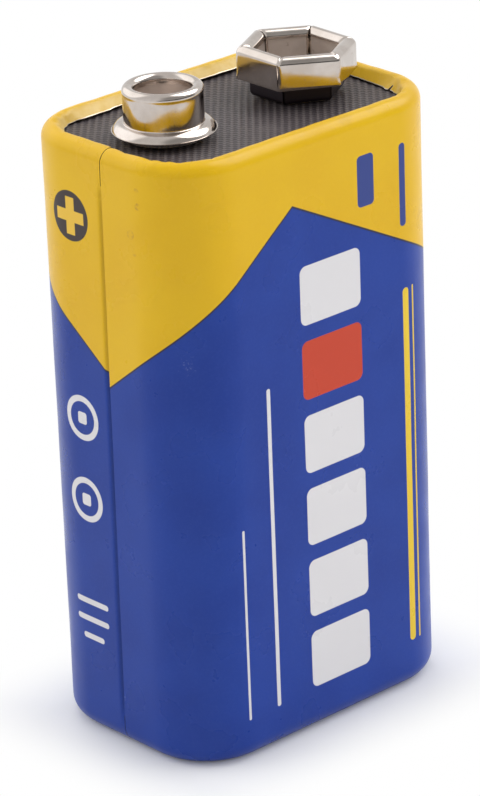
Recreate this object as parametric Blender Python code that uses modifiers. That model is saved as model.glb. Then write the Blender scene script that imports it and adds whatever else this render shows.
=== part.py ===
"""Nine-volt layer-built battery with two snap contacts. Metres, +Z up.

The origin is the middle of the underside. The wide sides face -Y and +Y. The round
stud is towards -X, on the same side as the jacket's lap seam, and the hexagonal
socket is towards +X. An inset is a distance inwards from the jacket's outer face.
"""

import math

import bmesh
import bpy
from mathutils import Matrix, Vector

MM = 0.001

# Whole battery
RIM_HEIGHT = 45.5 * MM
CONTACT_RISE = 3.0 * MM
BODY_WIDTH = 25.9 * MM
BODY_DEPTH = 17.5 * MM
CORNER_RADIUS = 5.2 * MM
CELL_COUNT = 6

# Clearances, and the distance under which vertices are one
LAYER_GAP = 0.1 * MM
SHELL_GAP = 0.15 * MM
LAP_GAP = 0.05 * MM
MERGE_DISTANCE = 0.01 * MM

# Jacket of printed tinplate
JACKET_SHEET = 0.25 * MM
TOP_FOLD_RADIUS = 1.0 * MM
LIP_FOLD_RADIUS = 0.5 * MM
LIP_LEAN = 0.1 * MM
BOTTOM_FOLD_RADIUS = 1.4 * MM
BOTTOM_LAND = 1.2 * MM
LAP_PLACE = -0.5 * MM
LAP_WIDTH = 2.6 * MM
SEAM_LINE = 0.1 * MM
JOGGLE_LENGTH = 1.0 * MM
NOTCH_WIDTH = 0.4 * MM
NOTCH_HEIGHT = 0.45 * MM

# Boards, cards and films
BOARD_DROP = 0.9 * MM
BOARD_THICKNESS = 1.2 * MM
BOTTOM_PLATE_HEIGHT = 0.6 * MM
BOTTOM_PLATE_THICKNESS = 0.8 * MM
CARD = 0.3 * MM
LINER_FOOT = 0.9 * MM
TAB_SLOT_MARGIN = 0.3 * MM
SLEEVE_FILM = 0.2 * MM
CELL_FILM = 0.15 * MM
CELL_FILM_LIP = 1.5 * MM

# Contacts
SNAP_SPACING = 12.7 * MM
CONTACT_SHEET = 0.25 * MM
STUD_RIM_RADIUS = 2.86 * MM
STUD_BEAD_RADIUS = 0.38 * MM
STUD_WALL = 0.3 * MM
STUD_NECK_RADIUS = 2.69 * MM
STUD_FOOT_FILLET = 0.12 * MM
STUD_FLANGE_RADIUS = 3.7 * MM
STUD_FLANGE_RISE = 0.77 * MM
STUD_FLANGE_DOME = 0.8 * MM
STUD_FLANGE_EDGE = 0.12 * MM
STUD_HUB_RADIUS = 2.8 * MM
STUD_HUB_HEIGHT = 0.46 * MM
SOCKET_ACROSS_FLATS = 7.57 * MM
SOCKET_GRIP = 0.04 * MM
SOCKET_SKIRT_LENGTH = 2.4 * MM
SOCKET_SLIT = 0.15 * MM
PETAL_GAP = 1.5 * MM

# Rivets, and the strips that they hold
RIVET_SHANK_RADIUS = 1.0 * MM
RIVET_BORE_RADIUS = 0.6 * MM
RIVET_HEAD_THICKNESS = 0.3 * MM
RIVET_CLENCH_THICKNESS = 0.4 * MM
RIVET_CHAMFER = 0.12 * MM
RIVET_HEAD_MARGIN = 0.64 * MM
STRIP_THICKNESS = 0.2 * MM
STRIP_WIDTH = 4.0 * MM
STRIP_FOOT_REACH = 9.0 * MM
STRIP_BEND = 0.3 * MM
TAB_FOOT_LENGTH = 3.2 * MM
CONTACT_HEADROOM = 1.0 * MM

# Cells
COLLECTOR_THICKNESS = 0.3 * MM
ZINC_THICKNESS = 0.4 * MM
SEPARATOR_THICKNESS = 0.2 * MM

# The stud's rolled rim, in degrees from the radius: down its outer side and up its inner side
BEAD_OUTER_STOP = -60
BEAD_INNER_START = 200
BEAD_INNER_STOP = 110

# Steps of the round stretches, and how they are rounded and shaded
JACKET_CORNER_STEPS = 8
FOLD_STEPS = 4
PLATE_CORNER_STEPS = 6
CELL_CORNER_STEPS = 3
STUD_STEPS = 36
RIVET_STEPS = 24
BEAD_STEPS = 8
BEAD_INNER_STEPS = 5
FLANGE_DOME_STEPS = 6
FLANGE_EDGE_STEPS = 4
SOCKET_FOLD_STEPS = 6
FILLET_STEPS = 3
JOGGLE_STEPS = 4
ROUND_PROFILE = 0.5
SMOOTH_ANGLE = math.radians(35)

# The socket's hexagon has one flat side towards the stud and one away from it
HEXAGON_SIDES = 6
HALF_SIDE = math.pi / HEXAGON_SIDES

# Heights from the contacts' top and the rim down to the stack
CONTACT_TOP = RIM_HEIGHT + CONTACT_RISE
BOARD_TOP = RIM_HEIGHT - BOARD_DROP
BOARD_LOW = BOARD_TOP - BOARD_THICKNESS
ARM_TOP = BOARD_LOW - LAYER_GAP
ARM_LOW = ARM_TOP - STRIP_THICKNESS
CLENCH_TOP = ARM_LOW - LAYER_GAP
CLENCH_LOW = CLENCH_TOP - RIVET_CLENCH_THICKNESS
TOP_CARD_TOP = CLENCH_LOW - CONTACT_HEADROOM
TOP_CARD_LOW = TOP_CARD_TOP - CARD
COLLECTOR_TOP = TOP_CARD_LOW - LAYER_GAP
COLLECTOR_LOW = COLLECTOR_TOP - COLLECTOR_THICKNESS

# Heights from the floor up to the stack
BOTTOM_PLATE_TOP = BOTTOM_PLATE_HEIGHT + BOTTOM_PLATE_THICKNESS
BOTTOM_CARD_LOW = BOTTOM_PLATE_TOP + LAYER_GAP
BOTTOM_CARD_TOP = BOTTOM_CARD_LOW + CARD
FOOT_LOW = BOTTOM_CARD_TOP + LAYER_GAP
FOOT_TOP = FOOT_LOW + STRIP_THICKNESS
STACK_LOW = FOOT_TOP + LAYER_GAP
PLATE_SEAT = CELL_FILM + LAYER_GAP
STACK_TOP = COLLECTOR_LOW - LAYER_GAP - PLATE_SEAT
CELL_PITCH = (STACK_TOP - STACK_LOW + LAYER_GAP) / CELL_COUNT
CELL_HEIGHT = CELL_PITCH - LAYER_GAP

# Stretch of the wall where the lap is double, clear of the boards
LAP_LOW = STACK_LOW
LAP_HIGH = CLENCH_TOP

# Insets of the nested layers
JOGGLE_DEPTH = JACKET_SHEET + LAP_GAP
BOARD_INSET = JACKET_SHEET + JOGGLE_DEPTH + SHELL_GAP
LINER_INSET = BOARD_INSET
LINER_INNER = LINER_INSET + CARD
BOTTOM_PLATE_INSET = LINER_INNER + LAYER_GAP
STRIP_OUTER = LINER_INNER + LAYER_GAP
SLEEVE_INSET = STRIP_OUTER + STRIP_THICKNESS + LAYER_GAP
ENVELOPE_INSET = SLEEVE_INSET + SLEEVE_FILM + LAYER_GAP
CONTENTS_INSET = ENVELOPE_INSET + CELL_FILM + LAYER_GAP
PLATEAU_INSET = ENVELOPE_INSET + CELL_FILM_LIP + LAYER_GAP

# Contacts' levels and places
FLOOR_LOW = BOARD_TOP + LAYER_GAP
FLOOR_TOP = FLOOR_LOW + CONTACT_SHEET
STUD_PLACE = Vector((-SNAP_SPACING / 2, 0.0, 0.0))
SOCKET_PLACE = Vector((SNAP_SPACING / 2, 0.0, 0.0))
RIVET_HOLE_RADIUS = RIVET_SHANK_RADIUS + LAYER_GAP
RIVET_HEAD_RADIUS = STUD_NECK_RADIUS - STUD_WALL - RIVET_HEAD_MARGIN
SOCKET_INNER_APOTHEM = STUD_RIM_RADIUS - SOCKET_GRIP

for old in list(bpy.data.objects):
    bpy.data.objects.remove(old, do_unlink=True)

parts = bpy.data.collections.new("nine_volt_battery")
cutters = bpy.data.collections.new("cutters")
bpy.context.scene.collection.children.link(parts)
bpy.context.scene.collection.children.link(cutters)


def make_material(name, colour, roughness, metallic=0.0):
    """Principled material of one plain finish."""
    material = bpy.data.materials.new(name)
    material.use_nodes = True
    shader = material.node_tree.nodes["Principled BSDF"]
    shader.inputs["Base Color"].default_value = (*colour, 1.0)
    shader.inputs["Roughness"].default_value = roughness
    shader.inputs["Metallic"].default_value = metallic
    material.diffuse_color = (*colour, 1.0)
    return material


printed_tin = make_material("printed_tin", (0.72, 0.45, 0.03), 0.32)
black_board = make_material("black_board", (0.075, 0.065, 0.07), 0.6)
nickel = make_material("nickel", (0.66, 0.62, 0.58), 0.2, 1.0)
tinned_strip = make_material("tinned_strip", (0.6, 0.6, 0.58), 0.35, 1.0)
grey_card = make_material("grey_card", (0.42, 0.37, 0.3), 0.85)
clear_film = make_material("clear_film", (0.62, 0.6, 0.56), 0.4)
zinc = make_material("zinc", (0.42, 0.44, 0.46), 0.5, 1.0)
paper = make_material("paper", (0.7, 0.66, 0.55), 0.9)
cathode_mix = make_material("cathode_mix", (0.03, 0.03, 0.03), 0.9)


def add_object(name, bm, material, collection=parts):
    """Object made from a finished bmesh, shaded smooth where it is round."""
    mesh = bpy.data.meshes.new(name)
    bm.to_mesh(mesh)
    bm.free()
    mesh.shade_smooth()
    mesh.set_sharp_from_angle(angle=SMOOTH_ANGLE)
    obj = bpy.data.objects.new(name, mesh)
    collection.objects.link(obj)
    if material:
        mesh.materials.append(material)
    return obj


def solidify(obj, thickness):
    """Gives an open sheet its thickness, inwards from its outer face."""
    sheet = obj.modifiers.new("sheet", "SOLIDIFY")
    sheet.thickness = thickness
    sheet.offset = -1.0
    sheet.use_even_offset = True


def cut(obj, cutter):
    """Cuts one object with another, which stays as a wire guide."""
    cutter.hide_render = True
    cutter.display_type = "WIRE"
    boolean = obj.modifiers.new(cutter.name, "BOOLEAN")
    boolean.operation = "DIFFERENCE"
    boolean.solver = "EXACT"
    boolean.object = cutter


def box(bm, low, high):
    """Box between two corners."""
    made = bmesh.ops.create_cube(bm, size=1.0)["verts"]
    low = Vector(low)
    high = Vector(high)
    bmesh.ops.scale(bm, vec=high - low, verts=made)
    bmesh.ops.translate(bm, vec=(low + high) / 2, verts=made)
    return made


def box_cutter(name, low, high, turn=0.0, place=(0.0, 0.0, 0.0)):
    """Box to cut with, turned about its own origin and then placed."""
    bm = bmesh.new()
    box(bm, low, high)
    cutter = add_object(name, bm, None, cutters)
    cutter.matrix_world = Matrix.Translation(place) @ Matrix.Rotation(turn, 4, "Z")
    return cutter


def round_cutter(name, place, radius, low, high):
    """Upright cylinder to cut with."""
    bm = bmesh.new()
    bmesh.ops.create_cone(
        bm, cap_ends=True, segments=RIVET_STEPS, radius1=radius, radius2=radius, depth=high - low
    )
    cutter = add_object(name, bm, None, cutters)
    cutter.location = Vector(place) + Vector((0.0, 0.0, (low + high) / 2))
    return cutter


def arc(centre, radius, start, stop, steps):
    """Points of an arc, angles in degrees, both ends included."""
    points = []
    for index in range(steps + 1):
        angle = math.radians(start + (stop - start) * index / steps)
        points.append((centre[0] + radius * math.cos(angle), centre[1] + radius * math.sin(angle)))
    return points


def turned(name, place, profile, steps, material, turn=0.0):
    """Closed profile of (radius, height) points, spun with a Screw modifier.

    The profile runs down its outer side and back up its inner side.
    """
    bm = bmesh.new()
    ring = [bm.verts.new((radius, 0.0, height)) for radius, height in profile]
    for first, second in zip(ring, ring[1:] + ring[:1]):
        bm.edges.new((first, second))
    obj = add_object(name, bm, material)
    obj.location = place
    obj.rotation_euler = (0.0, 0.0, turn)
    screw = obj.modifiers.new("spin", "SCREW")
    screw.angle = math.tau
    screw.steps = steps
    screw.render_steps = steps
    screw.use_merge_vertices = True
    screw.merge_threshold = MERGE_DISTANCE
    screw.use_smooth_shade = True
    return obj


def body_block(bm, inset, low, high, corner_steps):
    """Block with the body's rounded outline, set in from the jacket's outer face."""
    half_width = BODY_WIDTH / 2 - inset
    half_depth = BODY_DEPTH / 2 - inset
    made = box(bm, (-half_width, -half_depth, low), (half_width, half_depth, high))
    edges = {edge for vert in made for edge in vert.link_edges}
    upright = [edge for edge in edges if abs(edge.verts[0].co.z - edge.verts[1].co.z) > MERGE_DISTANCE]
    bmesh.ops.bevel(
        bm,
        geom=upright,
        offset=CORNER_RADIUS - inset,
        segments=corner_steps,
        profile=ROUND_PROFILE,
        affect="EDGES",
    )


def flat_faces(bm):
    """The block's underside and top, in that order."""
    level = [face for face in bm.faces if abs(face.normal.z) > face.normal.xy.length]
    return sorted(level, key=lambda face: face.calc_center_median().z)


def slab(name, inset, low, high, material, corner_steps=PLATE_CORNER_STEPS):
    """Flat piece with the body's outline."""
    bm = bmesh.new()
    body_block(bm, inset, low, high, corner_steps)
    return add_object(name, bm, material)


def tube(name, inset, low, high, thickness, material):
    """Open-ended tube with the body's outline."""
    bm = bmesh.new()
    body_block(bm, inset, low, high, PLATE_CORNER_STEPS)
    bmesh.ops.delete(bm, geom=flat_faces(bm), context="FACES_ONLY")
    obj = add_object(name, bm, material)
    solidify(obj, thickness)
    return obj


def face_outwards(bm, way):
    """Makes the normals agree, so that the sheet's outermost face along a way faces that way."""
    bmesh.ops.recalc_face_normals(bm, faces=bm.faces)
    bm.normal_update()
    outermost = max(bm.faces, key=lambda face: face.calc_center_median().dot(way))
    if outermost.normal.dot(way) < 0:
        bmesh.ops.reverse_faces(bm, faces=bm.faces)


def ribbon(name, route, width, material):
    """Strip whose upper or outer face follows a route of (x, z) points."""
    bm = bmesh.new()
    row = [bm.verts.new((x, -width / 2, z)) for x, z in route]
    edges = [bm.edges.new(pair) for pair in zip(row, row[1:])]
    made = bmesh.ops.extrude_edge_only(bm, edges=edges)["geom"]
    moved = [item for item in made if isinstance(item, bmesh.types.BMVert)]
    bmesh.ops.translate(bm, vec=(0.0, width, 0.0), verts=moved)
    face_outwards(bm, Vector((0.0, 0.0, 1.0)))
    obj = add_object(name, bm, material)
    solidify(obj, STRIP_THICKNESS)
    return obj


def jacket_profile():
    """Outer face of the jacket as (inset, height), from the bottom lip to the top lip."""
    top_centre = (TOP_FOLD_RADIUS, RIM_HEIGHT - TOP_FOLD_RADIUS)
    lip_centre = (TOP_FOLD_RADIUS, RIM_HEIGHT - LIP_FOLD_RADIUS)
    bottom_centre = (BOTTOM_FOLD_RADIUS, BOTTOM_FOLD_RADIUS)
    profile = [(BOTTOM_FOLD_RADIUS + BOTTOM_LAND, 0.0)]
    profile += arc(bottom_centre, BOTTOM_FOLD_RADIUS, 270, 180, FOLD_STEPS)
    profile += [(0.0, LAP_LOW), (0.0, LAP_HIGH)]
    profile += arc(top_centre, TOP_FOLD_RADIUS, 180, 90, FOLD_STEPS)
    profile += arc(lip_centre, LIP_FOLD_RADIUS, 90, 0, FOLD_STEPS)[1:]
    lip_inset = TOP_FOLD_RADIUS + LIP_FOLD_RADIUS + LIP_LEAN
    profile.append((lip_inset, BOARD_TOP + LAYER_GAP))
    return profile


def carry(bm, edges, step):
    """Extrudes a row of edges by a step and returns the new row."""
    made = bmesh.ops.extrude_edge_only(bm, edges=edges)["geom"]
    verts = {item for item in made if isinstance(item, bmesh.types.BMVert)}
    bmesh.ops.translate(bm, vec=step, verts=list(verts))
    lines = [item for item in made if isinstance(item, bmesh.types.BMEdge)]
    return [edge for edge in lines if verts.issuperset(edge.verts)]


def turn_corner(bm, edges, centre):
    """Sweeps a row of edges through a quarter turn about an upright axis."""
    verts = list({vert for edge in edges for vert in edge.verts})
    made = bmesh.ops.spin(
        bm,
        geom=verts + edges,
        cent=centre,
        axis=(0.0, 0.0, 1.0),
        angle=math.radians(90),
        steps=JACKET_CORNER_STEPS,
    )["geom_last"]
    return [item for item in made if isinstance(item, bmesh.types.BMEdge)]


def wrap_sheet(bm):
    """Wraps the jacket's profile round the body, from the lap's outer edge to its tail."""
    half_width = BODY_WIDTH / 2
    flat_x = half_width - CORNER_RADIUS
    flat_y = BODY_DEPTH / 2 - CORNER_RADIUS
    start = [bm.verts.new((inset - half_width, LAP_PLACE, z)) for inset, z in jacket_profile()]
    row = [bm.edges.new(pair) for pair in zip(start, start[1:])]
    joggle_end = LAP_PLACE + SEAM_LINE
    joggle_start = joggle_end + JOGGLE_LENGTH
    runs = [
        ((0.0, -flat_y - LAP_PLACE, 0.0), (-flat_x, -flat_y, 0.0)),
        ((2 * flat_x, 0.0, 0.0), (flat_x, -flat_y, 0.0)),
        ((0.0, 2 * flat_y, 0.0), (flat_x, flat_y, 0.0)),
        ((-2 * flat_x, 0.0, 0.0), (-flat_x, flat_y, 0.0)),
    ]
    for step, corner in runs:
        row = carry(bm, row, step)
        row = turn_corner(bm, row, corner)
    row = carry(bm, row, (0.0, joggle_start - flat_y, 0.0))
    for index in range(JOGGLE_STEPS):
        row = carry(bm, row, (0.0, -JOGGLE_LENGTH / JOGGLE_STEPS, 0.0))
        wall = max(row, key=lambda edge: edge.calc_length())
        inset = JOGGLE_DEPTH * smooth_step((index + 1) / JOGGLE_STEPS)
        for vert in wall.verts:
            vert.co.x = inset - half_width
    carry(bm, [wall], (0.0, -LAP_WIDTH, 0.0))


def smooth_step(share):
    """Goes from 0 to 1 with level ends."""
    return share * share * (3 - 2 * share)


def build_jacket():
    """Tinplate wrap with its lap seam, crimped rims and notched top lip."""
    bm = bmesh.new()
    wrap_sheet(bm)
    face_outwards(bm, Vector((1.0, 0.0, 0.0)))
    jacket = add_object("jacket", bm, printed_tin)
    solidify(jacket, JACKET_SHEET)
    cut(jacket, lip_notches())


def lip_notches():
    """Eight small boxes in one cutter, at the ends of the lip's straight flaps."""
    flat_x = BODY_WIDTH / 2 - CORNER_RADIUS
    flat_y = BODY_DEPTH / 2 - CORNER_RADIUS
    fold_inset = TOP_FOLD_RADIUS + LIP_FOLD_RADIUS
    near = fold_inset - JACKET_SHEET * 2
    far = fold_inset + LIP_LEAN + JACKET_SHEET
    low = BOARD_TOP
    high = BOARD_TOP + LAYER_GAP + NOTCH_HEIGHT
    half = NOTCH_WIDTH / 2
    bm = bmesh.new()
    for side_x in (-1, 1):
        for side_y in (-1, 1):
            end_x = side_x * flat_x
            end_y = side_y * flat_y
            face_x = [side_x * (BODY_WIDTH / 2 - inset) for inset in (near, far)]
            face_y = [side_y * (BODY_DEPTH / 2 - inset) for inset in (near, far)]
            box(bm, (min(face_x), end_y - half, low), (max(face_x), end_y + half, high))
            box(bm, (end_x - half, min(face_y), low), (end_x + half, max(face_y), high))
    return add_object("lip_notches", bm, None, cutters)


def build_boards():
    """Terminal board on top, closing plate in the bottom crimp and the two cards."""
    board = slab("terminal_board", BOARD_INSET, BOARD_LOW, BOARD_TOP, black_board)
    for name, place in (("stud_hole", STUD_PLACE), ("socket_hole", SOCKET_PLACE)):
        hole = round_cutter(
            name, place, RIVET_HOLE_RADIUS, BOARD_LOW - BOARD_THICKNESS, BOARD_TOP + BOARD_THICKNESS
        )
        cut(board, hole)
    slab("bottom_plate", BOTTOM_PLATE_INSET, BOTTOM_PLATE_HEIGHT, BOTTOM_PLATE_TOP, black_board)
    slab("bottom_insulator", BOTTOM_PLATE_INSET, BOTTOM_CARD_LOW, BOTTOM_CARD_TOP, grey_card)
    card = slab("top_insulator", SLEEVE_INSET, TOP_CARD_LOW, TOP_CARD_TOP, grey_card)
    foot_start, foot_stop = tab_foot()
    slot = box_cutter(
        "tab_slot",
        (foot_start - CONTACT_HEADROOM, -STRIP_WIDTH / 2 - TAB_SLOT_MARGIN, TOP_CARD_LOW - CARD),
        (foot_stop + TAB_SLOT_MARGIN, STRIP_WIDTH / 2 + TAB_SLOT_MARGIN, TOP_CARD_TOP + CARD),
    )
    cut(card, slot)


def build_stud():
    """Drawn round contact: rolled rim, straight neck, domed flange and flat floor."""
    bead_centre = (STUD_RIM_RADIUS - STUD_BEAD_RADIUS, CONTACT_TOP - STUD_BEAD_RADIUS)
    flange_low = FLOOR_LOW + STUD_HUB_HEIGHT
    flange_top = flange_low + STUD_FLANGE_RISE
    edge = STUD_FLANGE_EDGE
    edge_centre = (STUD_FLANGE_RADIUS - edge, flange_low + edge)
    drop = edge_centre[1] - (flange_top - STUD_FLANGE_DOME)
    dome_reach = STUD_FLANGE_DOME - edge
    dome_centre = (edge_centre[0] - math.sqrt(dome_reach**2 - drop**2), edge_centre[1] - drop)
    meeting = math.degrees(math.asin(drop / dome_reach))
    foot = STUD_FOOT_FILLET
    neck = STUD_NECK_RADIUS
    fillet = STUD_WALL
    inner = neck - STUD_WALL
    profile = arc(bead_centre, STUD_BEAD_RADIUS, 90, BEAD_OUTER_STOP, BEAD_STEPS)
    profile += arc((neck + foot, flange_top + foot), foot, 180, 270, FILLET_STEPS)
    profile += arc(dome_centre, STUD_FLANGE_DOME, 90, meeting, FLANGE_DOME_STEPS)
    profile += arc(edge_centre, edge, meeting, -90, FLANGE_EDGE_STEPS)[1:]
    profile += [
        (STUD_HUB_RADIUS, flange_low),
        (STUD_HUB_RADIUS, FLOOR_LOW),
        (RIVET_HOLE_RADIUS, FLOOR_LOW),
        (RIVET_HOLE_RADIUS, FLOOR_TOP),
    ]
    profile += arc((inner - fillet, FLOOR_TOP + fillet), fillet, 270, 360, FILLET_STEPS)[1:]
    profile += arc(
        bead_centre, STUD_BEAD_RADIUS, BEAD_INNER_START, BEAD_INNER_STOP, BEAD_INNER_STEPS
    )
    turned("positive_stud", STUD_PLACE, profile, STUD_STEPS, nickel)


def build_socket():
    """Hexagonal contact: six leaves rise from a floor, fold outwards and hang as a skirt."""
    corner = 1 / math.cos(HALF_SIDE)
    outer = SOCKET_ACROSS_FLATS / 2
    inner = SOCKET_INNER_APOTHEM
    fold = (outer - inner) / 2
    fold_centre = (inner + fold, CONTACT_TOP - fold)
    skirt_low = CONTACT_TOP - SOCKET_SKIRT_LENGTH
    bend = CONTACT_SHEET
    chamfer = CONTACT_SHEET / 2
    section = [(outer - CONTACT_SHEET, skirt_low)]
    section += arc(fold_centre, fold - CONTACT_SHEET, 0, 180, FOLD_STEPS)
    section += arc((inner, FLOOR_LOW + bend), bend, 0, -90, FILLET_STEPS)
    section += [(RIVET_HOLE_RADIUS, FLOOR_LOW), (RIVET_HOLE_RADIUS, FLOOR_TOP)]
    section += [(inner - chamfer, FLOOR_TOP), (inner, FLOOR_TOP + chamfer)]
    section += arc(fold_centre, fold, 180, 0, SOCKET_FOLD_STEPS)
    section.append((outer, skirt_low))
    hexagon = [(apothem * corner, height) for apothem, height in reversed(section)]
    socket = turned("negative_socket", SOCKET_PLACE, hexagon, HEXAGON_SIDES, nickel, HALF_SIDE)
    slit_low = FLOOR_TOP + bend
    reach = outer * corner + SOCKET_SLIT
    half = SOCKET_SLIT / 2
    corner_turns = [HALF_SIDE * (2 * index + 1) for index in range(HEXAGON_SIDES)]
    for number, turn in enumerate(corner_turns[: HEXAGON_SIDES // 2], start=1):
        slit = box_cutter(
            f"leaf_slit_{number}",
            (-reach, -half, slit_low),
            (reach, half, CONTACT_TOP + bend),
            turn,
            SOCKET_PLACE,
        )
        cut(socket, slit)
    for number, turn in enumerate(corner_turns, start=1):
        cut(socket, petal_gap(f"petal_gap_{number}", turn, inner * corner, slit_low))


def petal_gap(name, turn, corner_radius, low):
    """Tapered block that narrows two neighbouring petals towards the floor."""
    high = CONTACT_TOP - (SOCKET_ACROSS_FLATS / 2 - SOCKET_INNER_APOTHEM)
    near = corner_radius - CONTACT_SHEET * 2
    far = corner_radius + CONTACT_SHEET * 2
    half = PETAL_GAP / 2
    bm = bmesh.new()
    made = box(bm, (near, -half, low), (far, half, high))
    for vert in made:
        if vert.co.z > (low + high) / 2:
            vert.co.y = math.copysign(SOCKET_SLIT / 2, vert.co.y)
    gap = add_object(name, bm, None, cutters)
    gap.matrix_world = Matrix.Translation(SOCKET_PLACE) @ Matrix.Rotation(turn, 4, "Z")
    return gap


def build_rivet(name, place):
    """Hollow eyelet: head on the contact's floor, clench below the strip."""
    head_low = FLOOR_TOP + LAYER_GAP
    head_top = head_low + RIVET_HEAD_THICKNESS
    profile = [
        (RIVET_HEAD_RADIUS - RIVET_CHAMFER, head_top),
        (RIVET_HEAD_RADIUS, head_top - RIVET_CHAMFER),
        (RIVET_HEAD_RADIUS, head_low),
        (RIVET_SHANK_RADIUS, head_low),
        (RIVET_SHANK_RADIUS, CLENCH_TOP),
        (RIVET_HEAD_RADIUS, CLENCH_TOP),
        (RIVET_HEAD_RADIUS, CLENCH_LOW + RIVET_CHAMFER),
        (RIVET_HEAD_RADIUS - RIVET_CHAMFER, CLENCH_LOW),
        (RIVET_BORE_RADIUS, CLENCH_LOW),
        (RIVET_BORE_RADIUS, head_top),
    ]
    turned(name, place, profile, RIVET_STEPS, nickel)


def tab_foot():
    """Where the positive tab's foot starts and stops along X."""
    start = STUD_PLACE.x + STRIP_WIDTH
    return start, start + TAB_FOOT_LENGTH


def strip_hole(obj, name, place):
    """Lets a rivet's shank through a strip's arm."""
    low = ARM_LOW - STRIP_THICKNESS
    high = ARM_TOP + STRIP_THICKNESS
    cut(obj, round_cutter(name, place, RIVET_HOLE_RADIUS, low, high))


def build_positive_tab():
    """Short strip from the stud's rivet down on to the collector plate."""
    foot_start, foot_stop = tab_foot()
    foot_top = COLLECTOR_TOP + LAYER_GAP + STRIP_THICKNESS
    arm_start = STUD_PLACE.x - STRIP_WIDTH / 2
    arm_stop = STUD_PLACE.x + STRIP_WIDTH / 2
    route = [
        (arm_start, ARM_TOP),
        (arm_stop, ARM_TOP),
        (foot_start, foot_top),
        (foot_stop, foot_top),
    ]
    tab = ribbon("positive_tab", route, STRIP_WIDTH, tinned_strip)
    strip_hole(tab, "tab_hole", STUD_PLACE)


def build_negative_strip():
    """Long strip from the socket's rivet, down the side and under the lowest zinc plate."""
    outer_x = BODY_WIDTH / 2 - STRIP_OUTER
    arm_start = SOCKET_PLACE.x - STRIP_WIDTH / 2
    foot_stop = outer_x - STRIP_FOOT_REACH
    rise_start = BODY_WIDTH / 2 - PLATEAU_INSET - STRIP_BEND
    seat = STACK_LOW + PLATE_SEAT - LAYER_GAP
    route = [
        (arm_start, ARM_TOP),
        (outer_x - STRIP_BEND, ARM_TOP),
        (outer_x, ARM_TOP - STRIP_BEND),
        (outer_x, FOOT_LOW + STRIP_BEND),
        (outer_x - STRIP_BEND, FOOT_LOW),
        (rise_start, FOOT_LOW),
        (rise_start - STRIP_BEND, seat - STRIP_THICKNESS),
        (foot_stop, seat - STRIP_THICKNESS),
    ]
    strip = ribbon("negative_strip", route, STRIP_WIDTH, tinned_strip)
    strip_hole(strip, "strip_hole", SOCKET_PLACE)


def build_envelope(name, low):
    """Film tray round one cell, turned in over the top and bottom edges."""
    bm = bmesh.new()
    body_block(bm, ENVELOPE_INSET, low, low + CELL_HEIGHT, CELL_CORNER_STEPS)
    middles = flat_faces(bm)
    bmesh.ops.inset_region(bm, faces=middles, thickness=CELL_FILM_LIP, use_even_offset=True)
    bmesh.ops.delete(bm, geom=middles, context="FACES_ONLY")
    envelope = add_object(name, bm, clear_film)
    solidify(envelope, CELL_FILM)


def build_cake(name, low, high, plateau_top):
    """Pressed cake with a plateau that fills the film's opening."""
    bm = bmesh.new()
    body_block(bm, CONTENTS_INSET, low, high, CELL_CORNER_STEPS)
    top = flat_faces(bm)[-1]
    bmesh.ops.inset_region(
        bm, faces=[top], thickness=PLATEAU_INSET - CONTENTS_INSET, use_even_offset=True
    )
    raised = bmesh.ops.extrude_discrete_faces(bm, faces=[top])["faces"][0]
    bmesh.ops.translate(bm, vec=(0.0, 0.0, plateau_top - high), verts=raised.verts)
    add_object(name, bm, cathode_mix)


def build_cell(number):
    """One flat cell, counted from the bottom: zinc plate, separator, cake and film."""
    low = STACK_LOW + (number - 1) * CELL_PITCH
    zinc_low = low + PLATE_SEAT
    separator_low = zinc_low + ZINC_THICKNESS + LAYER_GAP
    cake_low = separator_low + SEPARATOR_THICKNESS + LAYER_GAP
    cake_high = low + CELL_HEIGHT - PLATE_SEAT
    plateau_top = low + CELL_PITCH + PLATE_SEAT - LAYER_GAP
    steps = CELL_CORNER_STEPS
    slab(f"zinc_plate_{number}", CONTENTS_INSET, zinc_low, zinc_low + ZINC_THICKNESS, zinc, steps)
    separator_high = separator_low + SEPARATOR_THICKNESS
    slab(f"separator_{number}", CONTENTS_INSET, separator_low, separator_high, paper, steps)
    build_cake(f"cathode_cake_{number}", cake_low, cake_high, plateau_top)
    build_envelope(f"cell_envelope_{number}", low)


build_jacket()
build_boards()
build_stud()
build_socket()
build_rivet("positive_rivet", STUD_PLACE)
build_rivet("negative_rivet", SOCKET_PLACE)
build_positive_tab()
build_negative_strip()
slab("collector_plate", ENVELOPE_INSET, COLLECTOR_LOW, COLLECTOR_TOP, tinned_strip)
tube("stack_sleeve", SLEEVE_INSET, STACK_LOW, COLLECTOR_TOP, SLEEVE_FILM, clear_film)
tube("jacket_liner", LINER_INSET, LINER_FOOT, ARM_TOP, CARD, grey_card)
for cell_number in range(1, CELL_COUNT + 1):
    build_cell(cell_number)
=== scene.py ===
"""Looks of the nine-volt battery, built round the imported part. Metres, +Z up.

The round stud is towards -X and the hexagonal socket towards +X. An inset is a distance
inwards from the jacket's outer face. A wrap coordinate runs round the jacket from the left
end of the front's flat stretch, towards +X.
"""

import math

import bpy
import numpy as np
from mathutils import Matrix, Vector


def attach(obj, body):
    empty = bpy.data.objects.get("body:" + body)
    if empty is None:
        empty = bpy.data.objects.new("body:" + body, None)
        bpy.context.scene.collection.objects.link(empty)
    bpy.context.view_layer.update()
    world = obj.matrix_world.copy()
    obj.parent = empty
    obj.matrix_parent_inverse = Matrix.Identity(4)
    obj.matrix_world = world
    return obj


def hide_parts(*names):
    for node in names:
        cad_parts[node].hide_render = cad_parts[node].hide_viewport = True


MM = 0.001

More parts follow.
